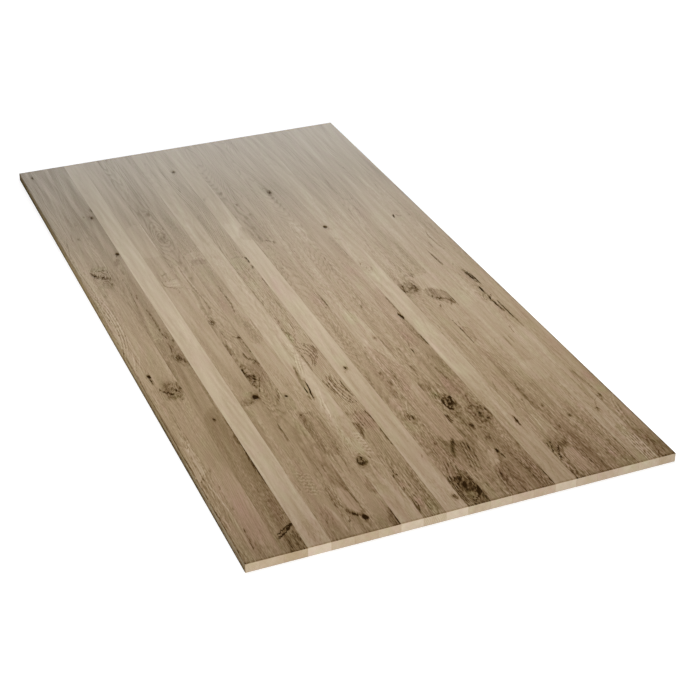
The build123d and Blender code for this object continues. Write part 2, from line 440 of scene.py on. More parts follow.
stave_12 = Stave(
    0.46, ring=2.8, lines=0.45, pith=(-24, -46), tint=0.05,
    varies=(32,8, 105,0, 190,17, 350,13, 510,-2, 700,-7, 925,0, 1425,10, 1665,6),
    strokes=[
        *((1.8, 8, 4,12+14*i, 26,24+14*i) for i in range(6)),
        *((2.8, 18, x,96, x+12,150, x+22,204) for x in (12, 18, 24, 30)), (5, 20, 40,168, 44,192),
        (5, 8, 18,255, 10,275), (5, 14, 30,345, 34,356), (6, 10, 14,468, 20,506),
        (2.6, 12, 34,538, 26,566, 20,596), (2.6, -10, 38,540, 30,572, 24,600), (1.8, -8, 18,410, 26,500),
        (5, -8, 14,620, 16,640), *((2, 9, x,980, x+6,1120) for x in (10, 20, 30)),
        (4, 14, 28,1255, 30,1275), (2.4, 16, 29,1300, 32,1352), (3, 14, 8,1418, 10,1444),
    ],
    tinted=[
        (4.5, 12, -60, 18,18, 19,66), (13, 20, -100, 0,152, 6,174, 14,192, 24,218),
        (4.4, 20, -60, 6,174, 14,194, 22,212), (6, 24, -40, 1,196, 3,212, 2,238),
    ],
    areas=[
        (12, 0, -4,-4, 50,-4, 50,192, 40,204, 8,214, -4,200),
        (-3, 60, 12,214, 40,206, 48,220, 48,410, -2,410, -2,250),
        (9, 70, 4,424, 30,424, 46,470, 42,520, 30,548, 20,594, -2,600),
    ],
    patches=[
        (22,120, 24,80, 5, 20), (12,30, 12,40, -4, -100), (30,120, 12,14, 0, -80),
        (26,740, 18,32, -2, -140), (30,1480, 14,24, 3, -80),
    ],
    knots=[(40,639, 2.6,4.5, 20, 32, 3, 2.5)],
)

stave_13 = Stave(
    0.52, ring=2.8, lines=0.5, pith=(24, -32), rise=0.008, sway=9, tint=0.1,
    varies=(32,8, 105,8, 190,20, 350,16, 510,2, 925,0, 1175,-6, 1425,3, 1665,0),
    strokes=[
        *((2.4, 12, x,25, x+10,70, x+18,104) for x in (2, 11, 20)), (7, -14, 31,140, 36,152),
        (6, 24, 40,186, 42,192, 45,198), *((2.2, 10, x,196, x+1,240, x,300) for x in (14, 20, 26)),
        (3, 30, 27,326, 29,344, 35,358), (3.4, -22, 33,338, 36,350), (3, -15, 26,318, 27,330),
        (2.4, -14, 40,336, 46,362), (3, 10, 8,440, 16,470, 19,502), (5, 16, 15,490, 17,502),
        (5, 10, 34,396, 37,412), *((1.8, 10, x,548, x+3,602) for x in (16, 22)), (3.4, 14, 1,606, 3,644),
        (3, 14, 20,772, 22,792), *((2, 11, x,950, x+9,1000, x+18,1050) for x in (12, 18, 24)),
        *((1.9, -14, 25,1130, 25+0.8*reach,1160, 25+reach,1195, 25,1252) for reach in (-13, -7, 7, 15)),
        *((1.9, 10, 25,1130, 25+0.8*reach,1160, 25+reach,1195, 25,1252) for reach in (-10, -4, 11)),
    ],
    tinted=[
        (3, 10, -80, 1,0, 3,60, 10,104), (8, 18, -30, 18,282, 26,292, 28,302),
        (5.5, 28, -80, 20,372, 15,382), (2.4, -10, 80, 26,392, 34,372, 42,360),
    ],
    splits=[
        (7, 40, 3.6, 42,136, 41,146, 43,153), (3, 34, 1, 45,112, 44,138),
        (5, 34, 1.2, 24,313, 19,330, 20,350, 29,364), (6.5, 38, 2.4, 25,314, 33,330, 39,346, 42,360),
        (7, 30, 3, 35,352, 40,360), (5, 32, 1.6, 34,1420, 40,1430, 43,1442),
    ],
    areas=[
        (14, 50, -4,-4, 50,-4, 50,96, 24,106, 4,84, -4,40),
        (-7, 0, 12,108, 28,112, 38,146, 34,158, 22,150, 12,130), (13, 0, 27,102, 43,122, 43,136, 34,128),
        (14, -50, -1,214, 8,213, 9,240, 6,250, -1,248), (34, 50, -1,270, 7,272, 8,290, 5,300, -1,300),
        (15, 10, 2,396, 16,398, 20,412, 14,424, 0,430),
        (-5, 0, 18,1132, 36,1146, 42,1190, 36,1232, 20,1248, 10,1190),
    ],
    patches=[
        (20,40, 24,60, 6, 30), (34,270, 12,18, 5, -60), (18,376, 13,14, 10, -150), (22,1450, 22,55, 5, -90),
    ],
    knots=[
        (35,242, 4.2,7, 10, 30, 4, 2.5), (31,338, 12.5,25, 0, 32, 6, 6), (39,1431, 4.6,11, 10, 34, 10, 3),
    ],
)

stave_14 = Stave(
    0.55, ring=2.5, lines=0.45, pith=(-22, -32), tint=0.2,
    varies=(32,14, 105,7, 215,6, 350,10, 510,10, 700,-12, 1175,-5, 1425,0, 1665,-9),
    strokes=[
        (4, 24, 20,-2, 21,60, 18,100, 16,138), (3.4, 24, 45,0, 44,74), (4, 20, 40,134, 45,160),
        (5, 26, 1,186, 4,200), (5, 24, 8,200, 3,216), (5, 26, 11,222, 2,234),
        *((2.4, -9, 40,y, 31,y+10, 40,y+16) for y in (174, 205)),
        *((3.4, 14, x,y, x+2,y+8) for x, y in ((5, 262), (13, 272), (6, 284), (12, 298), (20, 262),
            (24, 276))),
        *((3.4, 14, x,y, x+2,y+8) for x, y in ((31, 252), (38, 262), (33, 280), (42, 284), (30, 296),
            (38, 302))),
        (5, 20, 20,272, 26,282), (8, 16, 30,248, 36,262), (5, 18, 42,268, 43,290),
        (2.6, 18, 18,308, 24,326, 30,360), (5, 22, 26,334, 27,350), (5, 22, 15,484, 16,498),
        (3, 12, 14,505, 22,520, 26,538), (4, 16, 28,512, 34,524), (3, 16, 2,570, 8,604),
        (2.6, 18, 42,572, 36,620, 32,700), (3, 24, 45,570, 44,620), (4, 26, 44,716, 45,760, 44,802),
    ],
    tinted=[(5, 26, -30, 22,420, 19,450, 17,478), (11, 20, -30, 45,566, 42,610, 40,660, 40,716)],
    splits=[(5, 32, 1, 1,548, 2,568), (9, 40, 4.6, 42,692, 42,704, 38,718)],
    areas=[
        (5, 20, 22,0, 44,0, 46,118, 24,110), (8, 0, 2,250, 22,245, 44,250, 46,312, 24,316, 2,304),
        (5, 50, 4,572, 26,576, 38,620, 40,700, 48,740, 48,850, 18,800, 6,680),
        (7, 0, 14,982, 40,980, 48,1000, 48,1130, 26,1104),
    ],
    patches=[
        (22,60, 28,110, 11, 30), (24,190, 25,70, 12, 0), (16,398, 18,44, 4, 160), (32,465, 14,46, 2, -90),
        (14,615, 13,30, 0, 80), (22,945, 12,28, 2, 130), (12,872, 12,22, 0, -100), (20,1450, 22,60, 4, -50),
    ],
    knots=[(24,282, 20,32, 0, 12, 4, 10)],
)

stave_15 = Stave(
    0.36, ring=3.2, lines=0.2, pith=(10, -70), sway=5, fleck=0.15, tint=-0.1,
    varies=(32,4, 105,7, 350,5, 510,-4, 925,-8, 1175,8, 1425,13, 1665,19),
    strokes=[
        *((1.8, 8, x,40, x+8,80) for x in (4, 16)), *((1.8, 8, x,480, x+9,540) for x in (12, 21, 30)),
        (2, 8, 28,640, 34,690), (4, 20, 22,932, 26,948), (4, 22, 7,966, 11,982), (3, 16, 12,940, 18,962),
        (4, 16, 3,1120, 8,1114, 18,1108), (4, 20, 4,1118, 6,1126), (4, 22, 8,1180, 12,1172, 17,1166),
        (3, -8, 20,1200, 36,1210), *((2.2, 11, x,1225, x+5,1290) for x in (32, 38)),
        (4, 16, 44,1235, 46,1275),
    ],
    tinted=[(7, 34, -40, 35,208, 34,222, 36,242)],
    splits=[(5, 34, 3.4, 35,224, 36,238), (4, 20, 0.8, 34,204, 34,220)],
    patches=[
        (23,30, 26,90, 5, 0), (20,445, 18,30, -4, -60), (10,540, 10,26, -2, 80), (34,230, 16,50, 2, 40),
        (20,640, 16,50, -2, -80), (20,910, 20,40, -2, -90), (23,1700, 25,120, 8, 0),
    ],
    knots=[(14,955, 10,26, 0, 10, 6, 4), (5,1188, 5.5,8, 90, 34, 6, 2.5)],
)

stave_16 = Stave(
    0.5, ring=2.6, lines=0.5, pith=(54, -26), rise=0.004,
    varies=(20,22, 105,12, 215,5, 510,1, 925,-4, 1175,-10, 1425,5, 1665,0),
    strokes=[
        (6, 18, 3,22, 5,48),
        *((3.6, 30, x,y, x+8,y+9) for x, y in ((1, 64), (4, 74), (8, 86), (12, 97), (17, 107))),
        *((3.4, 26, x,y, x+5,y+12) for x, y in ((2, 96), (6, 108), (2, 118), (10, 122))),
        (6, 16, 34,110, 38,120, 46,112), (3, 22, 27,128, 29,136),
        *((2, -14, x,160, x+2,230) for x in (8, 16, 24)), (3.4, 20, 45,240, 45.5,330, 45,400),
        *((2.6, 14, x,y, x+11,y+52) for x, y in ((1, 252), (14, 260), (26, 246), (1, 330))),
        (2.2, -8, 1,400, 12,470), (3, 10, 2,590, 8,640), (5, 24, 14,822, 22,832), (4, 20, 20,796, 28,802),
        (4, 10, 6,850, 20,862), (4.5, 22, 15,1008, 13,1024), (3, 18, 16,984, 14,992),
        (3, 20, 26,1028, 28,1036),
    ],
    tinted=[(5, 10, -60, 20,895, 17,945), (3, 8, 60, 18,1045, 22,1110)],
    splits=[
        (4.4, 22, 0.6, 14,93, 20,108), (8, 26, 1.4, 8,804, 20,810, 28,818),
        (5, 20, 0.5, 3,798, 5,814, 10,832), (4.5, 22, 0.5, 31,806, 37,818, 35,832),
    ],
    areas=[
        (12, 0, -1,-4, 15,-4, 17,50, 24,94, 40,106, 48,108, 46,132, 26,126, -1,136),
        (-8, 90, 16,24, 30,18, 42,22, 46,90, 36,97, 24,92, 17,60),
    ],
    patches=[
        (33,128, 20,34, 14, 20), (32,195, 14,26, -4, -50), (26,360, 16,40, 0, 70), (28,640, 16,30, 0, -80),
        (8,1515, 8,20, 8, -40), (16,1425, 14,24, 2, 70),
    ],
    knots=[(20,817, 20,25, 0, 26, 6, 9)],
)

stave_17 = Stave(
    0.52, ring=2.8, lines=0.45, pith=(-14, -36), rise=0.006, sway=8, tint=0.05,
    varies=(32,11, 105,8, 350,6, 510,-9, 1175,-3, 1425,6, 1665,-6),
    strokes=[
        (3.6, -15, 40,42, 36,54, 30,70), (4.5, -13, 34,14, 37,24), (3, 14, 26,28, 30,36),
        (4, 14, 10,165, 14,178), *((2.4, 12, x,132, x+2,168) for x in (38, 43)),
        (5, 17, 3,236, 2,300, 4,352), (4, 16, 14,248, 20,262), *((2, 12, x,372, x+2,400) for x in (30, 38)),
        (3.4, 30, 1,534, 1,580, 1,646), (3, 20, 9,602, 10,642), (3.6, 22, 2,705, 8,722),
        (5, 18, 30,708, 36,720, 43,738), (5, 20, 45,704, 46,720, 46,744), (4, 20, 14,738, 24,752),
        *((1.8, 10, 3,y+12, 24,y+4, 42,y-10) for y in (762, 772, 782)), (4, 10, 16,862, 26,868, 42,872),
        (3, 12, 10,880, 16,900), (3, 14, 2,1225, 6,1262), (6, 10, 10,1325, 30,1312, 44,1316),
        (8, 7, 14,1330, 12,1400, 20,1490),
    ],
    tinted=[
        (5, 14, 40, 3,62, 7,110), (4, 18, 40, 1,318, 4,348),
        (6, 24, -20, 1,768, 10,755, 20,747, 32,739, 42,716),
    ],
    splits=[(3, 16, 0.7, 3,762, 14,748, 26,740)],
    areas=[
        (-8, -50, 26,370, 44,340, 48,420, 34,430), (7, 30, -2,400, 12,402, 22,470, 12,500, -2,520),
        (12, 50, -2,540, 14,548, 20,590, 16,606, -2,604),
        (19, 20, 0,794, 16,799, 34,786, 47,764, 47,716, 30,714, 22,728, 4,750),
        (-7, 0, -2,800, 18,804, 36,792, 48,772, 48,864, -2,866),
        (5, -40, 4,884, 30,876, 48,890, 48,1092, 12,1100),
    ],
    patches=[
        (12,70, 34,190, 12, 70), (20,60, 26,100, 7, 0), (28,258, 14,16, 2, -40), (9,386, 9,24, 6, 20),
        (24,1230, 16,40, 3, 70),
    ],
    knots=[(3,872, 4,7, 20, 36, 8, 2.5)],
)

stave_18 = Stave(
    0.43, ring=2.4, lines=0.35, pith=(74, -30), tint=0.05,
    varies=(32,11, 105,4, 215,9, 350,2, 700,-7, 925,0, 1425,5, 1665,6),
    strokes=[
        (4, 20, 46,0, 45,90, 46,208), *((2, 9, x,20, x+1,190) for x in (9, 19, 29)),
        *((2, -8, x,236, x+1,330) for x in (6, 14, 37)), *((2.2, 8, x,330, x+2,400) for x in (8, 16, 24)),
        (4, 10, 22,420, 24,470), (3.4, 12, 26,490, 27,538), (3.4, 12, 38,498, 38,540),
    ],
    areas=[(-6, 0, 0,356, 24,345, 48,360, 48,420, 0,414)],
    patches=[
        (23,60, 28,170, 14, 20), (28,12, 22,22, 6, -160), (14,50, 9,14, 2, 140), (40,220, 9,12, -2, 100),
        (24,740, 22,50, -2, -100), (24,1180, 22,50, -2, -60), (23,1500, 25,160, 6, 0),
    ],
    knots=[(5,203, 3.6,6, 5, 26, 3, 2.5)],
)

stave_19 = Stave(
    0.44, ring=3, lines=0.45, pith=(-34, -16),
    varies=(32,7, 105,2, 350,-4, 510,-10, 700,-2, 925,-1, 1425,8, 1665,0),
    strokes=[
        *((2.4, 22, x,-2, x+1,94) for x in (20, 25, 30, 35, 40)),
        *((2.4, -18, x,-2, x+1,94) for x in (22.5, 27.5, 32.5, 37.5, 42.5)),
        *((2.4, 12, x,136, x+3,166) for x in (32, 38)), (4, -10, 36,132, 42,146),
        (2.6, 18, 23,198, 29,216, 36,232, 46,240), (3.4, 12, 29,240, 32,300, 31,400),
        (4, 18, 38,178, 41,186), (3, -10, 4,290, 3,330), (4, 12, 42,300, 46,360), (3.4, 16, 10,540, 16,576),
        (7, 30, 36,636, 34,680, 31,697, 35,716), (8, 28, 34,724, 34,764), (6, 24, 44,560, 43,620, 43,690),
        (3.4, 26, 32,694, 38,708, 44,720), (3, 20, 27,694, 20,700, 20,708, 28,728),
        (10, 26, 45,770, 42,792, 39,822, 36,856), (6, -10, 2,700, 3,800), (4, 10, 8,880, 14,850, 18,830),
        (3.4, 18, 26,880, 30,892), (4, 20, 21,984, 23,1014),
        (3.8, 26, 43,966, 39,996, 37,1044, 41,1064, 47,1090),
        *((2.2, -10, x,990, x+2,1036) for x in (8, 14)), (4, 16, 44,1168, 44,1186),
        (5, 16, 14,1298, 14,1358), (4, 20, 27,1302, 28,1316), (3.4, 16, 32,1340, 36,1376),
    ],
    tinted=[(7, 14, -20, 34,234, 36,262, 41,298), (7, 10, 30, 10,1205, 10,1285)],
    splits=[
        (5, 30, 2, 45,784, 44,810, 42,838), (6, 32, 1.2, 4,894, 2,928, 0,966),
        (7, 40, 4, 2,1170, 3,1180, 6,1188), (6, 30, 1.4, 12,1184, 15,1176, 22,1172),
    ],
    areas=[
        (8, -50, 14,94, 40,92, 46,110, 40,132, 20,128), (8, 0, 12,700, 26,690, 40,730, 42,856, 20,850),
        (12, 0, 10,1190, 20,1186, 30,1202, 14,1210),
    ],
    patches=[
        (14,12, 16,18, 0, -120), (12,130, 15,80, -6, 0), (34,620, 14,60, 6, 0), (14,1158, 14,14, 4, -140),
        (23,1520, 25,120, 4, -50),
    ],
    knots=[(23,198, 3.4,6, 0, 24, 4, 2.5)],
    cracks=[
        (2, 35,645, 34,672, 33,694), (2.6, 31.5,696, 34,702, 35,712), (3, 33,731, 34,746, 34,762),
        (1.6, 43,600, 42.5,650, 43,687), (3.2, 40,796, 38,820, 36,840),
    ],
)

stave_20 = Stave(
    0.55, ring=2.6, lines=0.45, pith=(-44, -30),
    varies=(32,6, 105,1, 350,-5, 510,-12, 925,-9, 1175,0, 1425,1, 1665,-19),
    strokes=[
        *((2.2, -13, x,110, x+5,160, x+13,205, x+27,240) for x in (2, 9)),
        *((2.4, 13, x,112, x+6,164, x+16,214) for x in (5, 12)), (6, 30, 10,222, 2,230),
        (6, 18, 2,352, 7,306, 9,272),
    ],
    tinted=[(7, 14, 40, 2,0, 12,30), (4, 0, 80, 20,236, 16,240)],
    patches=[
        (12,10, 46,130, 20, 0), (22,60, 10,16, -2, -120), (14,70, 8,14, 2, 120), (24,168, 12,16, -4, 90),
        (24,265, 12,16, -4, -180), (24,320, 13,24, 3, 140), (20,455, 16,50, 3, 80), (22,600, 14,30, 2, 70),
        (12,560, 12,30, 0, -80), (18,900, 18,90, 3, -30),
    ],
    knots=[(7,244, 4,6, 5, 28, 5, 3)],
)

STAVES = (
    stave_1, stave_2, stave_3, stave_4, stave_5, stave_6, stave_7, stave_8, stave_9, stave_10,
    stave_11, stave_12, stave_13, stave_14, stave_15, stave_16, stave_17, stave_18, stave_19, stave_20,
)


# How the tree grew

# Slow changes in the wood: what each adds to the seed, its size, and its lengths in millimetres
# across, along and up
CHANGES = {
    "sway across": (1, 1.0, (1, 900, 1)),
    "sway up": (2, 1.0, (1, 700, 1)),
    "rings": (3, 1.3, (34, 260, 34)),
    "fine rings": (4, 0.3, (11, 90, 11)),
    "fibre": (5, 1.5, (60, 500, 60)),
    "ragged": (6, 1.0, (8, 18, 10)),
    "frayed": (7, 1.0, (6, 50, 10)),
    "tone": (8, 0.045, (30, 420, 40)),
    "fine tone": (9, 0.03, (12, 160, 14)),
    "tint": (10, 0.4, (26, 140, 30)),
}
SINES = 9  # in each of them
CURVE_STEPS = 8  # between two points of a mark's line
FIRST_RING = 30.0
KNOT_LEAN = 0.35  # how far a knot moves along for each mm of depth
KNOT_PULL = 0.45  # how far the stem's rings bend round a knot, as a share of the knot's rings
KNOT_BLEND = 0.8  # of a knot's rings into the stem's
FIBRE_PULL = 0.75  # how far the fibre bends round a knot
HOLLOW_DEPTH = 1.2  # of a knot's black middle
SPLIT_DEPTH = 0.9
CRACK_DEPTH = 2.2
THIN_LINE = 3.7  # strokes thinner than this get a sharp edge in the shader
WIDE_SHADE = 1.25  # times a wide stroke's own shade
AREA_SHADE = 1.2  # times an area's own shade
RAGGED = 0.7  # how far the edges of strokes and areas wander across
FRAYED = 2.5  # and along
FADE = 0.75  # how much weaker strokes and stains are on the underside
NO_LINE = -6.0  # a gap that is far outside any stroke
NO_HOLE = -4.0  # and far outside any crack or hollow


def waves(points, seed, change):
    """One slow change as smooth noise: a sum of sines with wavelengths near its lengths."""
    step, size, lengths = CHANGES[change]
    draw = np.random.default_rng(seed + step)
    total = np.zeros(len(points))
    for _ in range(SINES):
        stretch = draw.uniform(0.6, 1.7, 3) * np.array(lengths)
        side = draw.choice((-1.0, 1.0), 3)
        total += np.sin(points @ (side * 2 * math.pi / stretch) + draw.uniform(0, 2 * math.pi))
    return size * (total / math.sqrt(SINES / 2) / 1.5)


def smooth_min(a, b, blend):
    low = np.minimum(a, b)
    return low - blend * np.log(np.exp((low - a) / blend) + np.exp((low - b) / blend))


def bell(distance):
    return np.exp(-distance * distance)


def soft_step(value, start, end):
    t = np.clip((value - start) / (end - start), 0.0, 1.0)
    return t * t * (3 - 2 * t)


def smooth_line(corners, closed=False):
    """A smooth curve through corners given as x, y, x, y, as a line of many short steps."""
    corners = np.array(corners, float).reshape(-1, 2)
    if closed:
        run = np.concatenate([corners[-1:], corners, corners[:2]])
    else:
        run = np.concatenate([2 * corners[:1] - corners[1:2], corners, 2 * corners[-1:] - corners[-2:-1]])
    t = np.linspace(0, 1, CURVE_STEPS, endpoint=False)[:, None]
    pieces = [
        b + 0.5 * t * (c - a + t * (2 * a - 5 * b + 4 * c - d + t * (3 * (b - c) + d - a)))
        for a, b, c, d in zip(run, run[1:], run[2:], run[3:])
    ]
    return np.concatenate([*pieces, run[-2:-1]])


def strokes_of(stave):
    """Every stroke of a stave: its line, width, shade, tint and the width of its black middle."""
    for width, shade, *line in stave.strokes:
        yield smooth_line(line), width, shade / 100, 0.0, 0.0
    for width, shade, tint, *line in stave.tinted:
        yield smooth_line(line), width, shade / 100, tint / 100, 0.0
    for width, shade, split, *line in stave.splits:
        yield smooth_line(line), width, shade / 100, 0.0, split


class Crack:
    """Where a drying crack lies at each y, and how wide it is there."""

    def __init__(self, width, *line):
        self.width = width
        self.line = smooth_line(line)
        self.start = line[1]
        self.end = line[-1]

    def middle(self, y):
        wander = 0.35 * np.sin(y / 9.0) + 0.2 * np.sin(y / 4.3)
        return np.interp(y, self.line[:, 1], self.line[:, 0]) + wander

    def half(self, y):
        """Half its opening. It is below zero past the ends."""
        part = np.abs(2 * (y - self.start) / (self.end - self.start) - 1)
        return self.width / 2 * np.clip(1 - part**3, -1.0, 1.0) * (1 + 0.2 * np.sin(y / 5.1))


def cracks_of(stave):
    return [Crack(*row) for row in stave.cracks]


def to_line(line, x, y):
    """Distance of each point from the line, and how far along it the nearest place is, 0 to 1."""
    step = np.diff(line, axis=0)
    length = np.hypot(*step.T) + 1e-9
    dx = x[:, None] - line[:-1, 0]
    dy = y[:, None] - line[:-1, 1]
    t = np.clip((dx * step[:, 0] + dy * step[:, 1]) / length**2, 0, 1)
    away = np.hypot(dx - t * step[:, 0], dy - t * step[:, 1])
    nearest = np.argmin(away, axis=1)
    each = np.arange(len(x))
    gone = np.concatenate([[0], np.cumsum(length)])[nearest] + t[each, nearest] * length[nearest]
    return away[each, nearest], gone / length.sum()


def inside(outline, x, y):
    """Which points lie inside a closed line."""
    x0, y0 = outline[:-1].T
    x1, y1 = outline[1:].T
    crosses = (y0 > y[:, None]) != (y1 > y[:, None])
    where = x0 + (y[:, None] - y0) * (x1 - x0) / np.where(y1 == y0, 1.0, y1 - y0)
    return (crosses & (x[:, None] < where)).sum(axis=1) % 2 == 1


def around(line, x, y, margin):
    """Which points lie in the box round a line."""
    low = line.min(axis=0) - margin
    high = line.max(axis=0) + margin
    return (x > low[0]) & (x < high[0]) & (y > low[1]) & (y < high[1])


def stem_rings(stave, seed, points):
    """Growth ring number at each point, with no branches."""
    x, y, z = points.T
    along = np.column_stack([np.zeros_like(y), y, np.zeros_like(y)])
    centre_x = stave.pith[0] + stave.sway * waves(along, seed, "sway across")
    centre_z = stave.pith[1] + stave.rise * y + stave.sway * waves(along, seed, "sway up")
    rough = waves(points, seed, "rings") + waves(points, seed, "fine rings")
    return (np.hypot(x - centre_x, z - centre_z) + rough) / stave.ring + FIRST_RING


class Wood:
    """The wood at points given in the stave's millimetres, with every mark of the stave."""

    def __init__(self, stave, seed, points):
        self.stave = stave
        self.seed = seed
        self.x, self.y, self.z = points.T
        self.rings = stem_rings(stave, seed, points)
        self.fibre = self.x + waves(points, seed, "fibre")
        self.ragged = waves(points, seed, "ragged")
        self.frayed = waves(points, seed, "frayed")
        self.wobbly_x = self.x + RAGGED * self.ragged
        self.wobbly_y = self.y + FRAYED * self.frayed
        self.fade = 1.0 - FADE * (THICKNESS - self.z) / THICKNESS
        self.upper = self.z > THICKNESS / 2

        # The darkness along the stave: the wood's own tone, with painted shade and light mixed in towards
        # the far end
        self.shade = np.interp(self.y, stave.varies[::2], np.array(stave.varies[1::2]) / 100)
        self.tint = np.full(len(points), stave.tint)
        self.black = np.full(len(points), NO_HOLE)
        self.hollow = np.zeros(len(points))
        self.knot_wood = np.zeros(len(points))
        self.line_gap = np.full(len(points), NO_LINE)
        self.line_shade = np.zeros(len(points))
        for row in stave.knots:
            self.add_knot(*row)
        for stroke in strokes_of(stave):
            self.add_stroke(*stroke)
        for row in stave.areas:
            self.add_area(*row)
        for row in stave.patches:
            self.add_patch(*row)
        for crack in cracks_of(stave):
            self.add_crack(crack)
        self.tone = stave.tone + waves(points, seed, "tone") + waves(points, seed, "fine tone")
        self.tint = self.tint + waves(points, seed, "tint")

    def add_knot(self, knot_x, knot_y, across, along, share, shade, tail, wraps):
        dx = self.x - knot_x
        dy = self.y - knot_y + KNOT_LEAN * (THICKNESS - self.z)
        reach = np.hypot(dx / across, dy / along) * (1 + 0.12 * self.ragged)
        bend = bell(np.hypot(dx / (2.2 * across), dy / (2.6 * along)))
        axis = np.column_stack([self.x - dx, self.y - dy, self.z])
        wrapped = stem_rings(self.stave, self.seed, axis) - KNOT_PULL * wraps + wraps * (reach - 1.0)
        self.rings = smooth_min(self.rings - KNOT_PULL * wraps * bend, wrapped, KNOT_BLEND)
        self.fibre = self.fibre - FIBRE_PULL * dx * bend
        gap = share / 100 - reach
        self.black = np.maximum(self.black, gap * min(across, along))
        self.hollow = np.maximum(self.hollow, HOLLOW_DEPTH * soft_step(gap * across, 0.0, 2.0))
        self.knot_wood = np.maximum(self.knot_wood, 1.0 - soft_step(reach, 0.75, 1.15))
        halo = bell(reach / 1.25)
        rim = bell((reach - 0.95) / 0.22)
        stain = bell(dx / (0.8 * across + 1.0)) * np.exp(-np.abs(dy) / (tail + along))
        self.shade += shade / 100 * (halo + 0.5 * rim + 0.5 * stain * (1 + 0.4 * self.frayed))

    def add_stroke(self, line, width, shade, tint, split):
        near = around(line, self.wobbly_x, self.wobbly_y, width + 6)
        away, part = to_line(line, self.wobbly_x[near], self.wobbly_y[near])
        taper = 0.35 + 0.65 * (1 - np.abs(2 * part - 1) ** 2.5)
        half = 0.5 * width * taper
        amount = (1 - soft_step(away, 0.5 * half, 1.15 * half + 0.7)) * self.fade[near]
        self.tint[near] += tint * amount
        if width < THIN_LINE:
            closer = half - away > self.line_gap[near]
            self.line_gap[near] = np.where(closer, half - away, self.line_gap[near])
            self.line_shade[near] = np.where(closer, shade * self.fade[near], self.line_shade[near])
        else:
            self.shade[near] += WIDE_SHADE * shade * amount
        if split:
            self.cut(near, 0.5 * split * taper - away, (0.0, 1.5), SPLIT_DEPTH)

    def add_area(self, shade, tint, *outline):
        outline = smooth_line(outline, closed=True)
        near = around(outline, self.wobbly_x, self.wobbly_y, 4)
        x, y = self.wobbly_x[near], self.wobbly_y[near]
        away, _ = to_line(outline, x, y)
        away = np.where(inside(outline, x, y), away, -away)
        amount = soft_step(away, -1.3, 1.3) * self.fade[near]
        self.shade[near] += AREA_SHADE * shade / 100 * amount
        self.tint[near] += tint / 100 * amount

    def add_patch(self, patch_x, patch_y, across, along, shade, tint):
        reach = np.hypot((self.fibre - patch_x) / across, (self.y - patch_y) / along)
        reach = reach + 0.18 * self.frayed + 0.1 * self.ragged
        amount = (1 - soft_step(reach, 0.45, 1.25)) * self.fade
        self.shade += shade / 100 * amount
        self.tint += tint / 100 * amount

    def add_crack(self, crack):
        gap = crack.half(self.y) - np.abs(self.x - crack.middle(self.y))
        self.cut(slice(None), gap, (-0.05, 0.4 * crack.width), CRACK_DEPTH)

    def cut(self, near, gap, lip, depth):
        """Opens a black cut in the upper half of the board, from one gap at its lip to the other."""
        gap = np.where(self.upper[near], gap, NO_HOLE)
        self.black[near] = np.maximum(self.black[near], gap)
        self.hollow[near] = np.maximum(self.hollow[near], depth * soft_step(gap, *lip))


# The boards' meshes

COLUMN = 1.6  # millimetres between the mesh's lines along a stave, on the top face
UNDER_COLUMN = 4.0  # and on the underside
ROW = 6.5  # between its lines across, away from any mark
FINE_ROW = 1.9  # and through a small or slanted one
SIDE_LEVELS = np.array([THICKNESS - ARRIS, THICKNESS * 2 / 3, THICKNESS / 3, ARRIS])
SAME_PLACE = 1e-4  # corners closer than this are one
SAME_LEVEL = 1e-3
SEAM_MARGIN = 0.01  # no hollow comes closer to a seam
CREASE = math.radians(32)  # edges sharper than this stay sharp
GRAIN_SHIFT = 0.37  # metres from stave to stave, so that no two share their fine grain

# Painted shade: a dark band along the panel's eased outer top edges, and painted shadow low on its long
# sides, next to the floor
END_EDGE_PAINTED_SHADE = 0.22
SIDE_EDGE_PAINTED_SHADE = 0.42
SIDE_FOOT_PAINTED_SHADOW = 0.52


def row_places(stave):
    """Y of the mesh's lines across the stave, closer together where a mark needs it."""
    step = 0.5
    fine = np.arange(0.0, LENGTH + step / 2, step)
    density = np.full(len(fine), 1 / ROW)

    def closer(start, end, spacing):
        near = (fine > start) & (fine < end)
        density[near] = np.maximum(density[near], 1 / max(spacing, FINE_ROW))

    for _x, y, _across, along, *_rest in stave.knots:
        reach = 1.4 * along + 3
        closer(y - reach, y + reach, 0.12 * along + 1.4)
    for crack in cracks_of(stave):
        closer(crack.start - 5, crack.end + 5, 3.0)
    lines = [(line, width) for line, width, *_rest in strokes_of(stave)]
    lines += [(smooth_line(outline, closed=True), 4.0) for _shade, _tint, *outline in stave.areas]
    for line, width in lines:
        for (x0, y0), (x1, y1) in zip(line, line[1:]):
            slant = abs(x1 - x0) / max(math.hypot(x1 - x0, y1 - y0), 1e-9)
            closer(min(y0, y1) - 3, max(y0, y1) + 3, min(ROW, 0.65 * width / max(slant, 0.05)))
    total = np.concatenate([[0], np.cumsum((density[1:] + density[:-1]) / 2 * step)])
    count = math.ceil(total[-1])
    inner = np.interp(np.linspace(0, total[-1], count + 1)[1:-1], total, fine)
    inner = inner[(inner > 3 * ARRIS) & (inner < LENGTH - 3 * ARRIS)]
    return np.concatenate([[0.0, ARRIS], inner, [LENGTH - ARRIS, LENGTH]])


def column_places(stave, rows, left, right):
    """X of every column at every row. Three columns gather on each crack: middle and two lips."""
    count = max(4, round((right - left) / COLUMN))
    regular = np.linspace(left, right, count + 1)
    places = np.repeat(regular[None, :], len(rows), axis=0)
    for crack in cracks_of(stave):
        line = crack.middle(rows)
        middle_x = crack.middle((crack.start + crack.end) / 2)
        middle = int(np.clip(np.argmin(np.abs(regular - middle_x)), 2, count - 2))
        lip = np.maximum(crack.half(rows), 0.3)
        pull = soft_step(rows, crack.start - 9, crack.start - 1)
        pull = pull * (1 - soft_step(rows, crack.end + 1, crack.end + 9))
        for step, target in ((-1, line - lip), (0, line), (1, line + lip)):
            column = places[:, middle + step]
            places[:, middle + step] = column + pull * (target - column)
    return np.sort(places, axis=1)


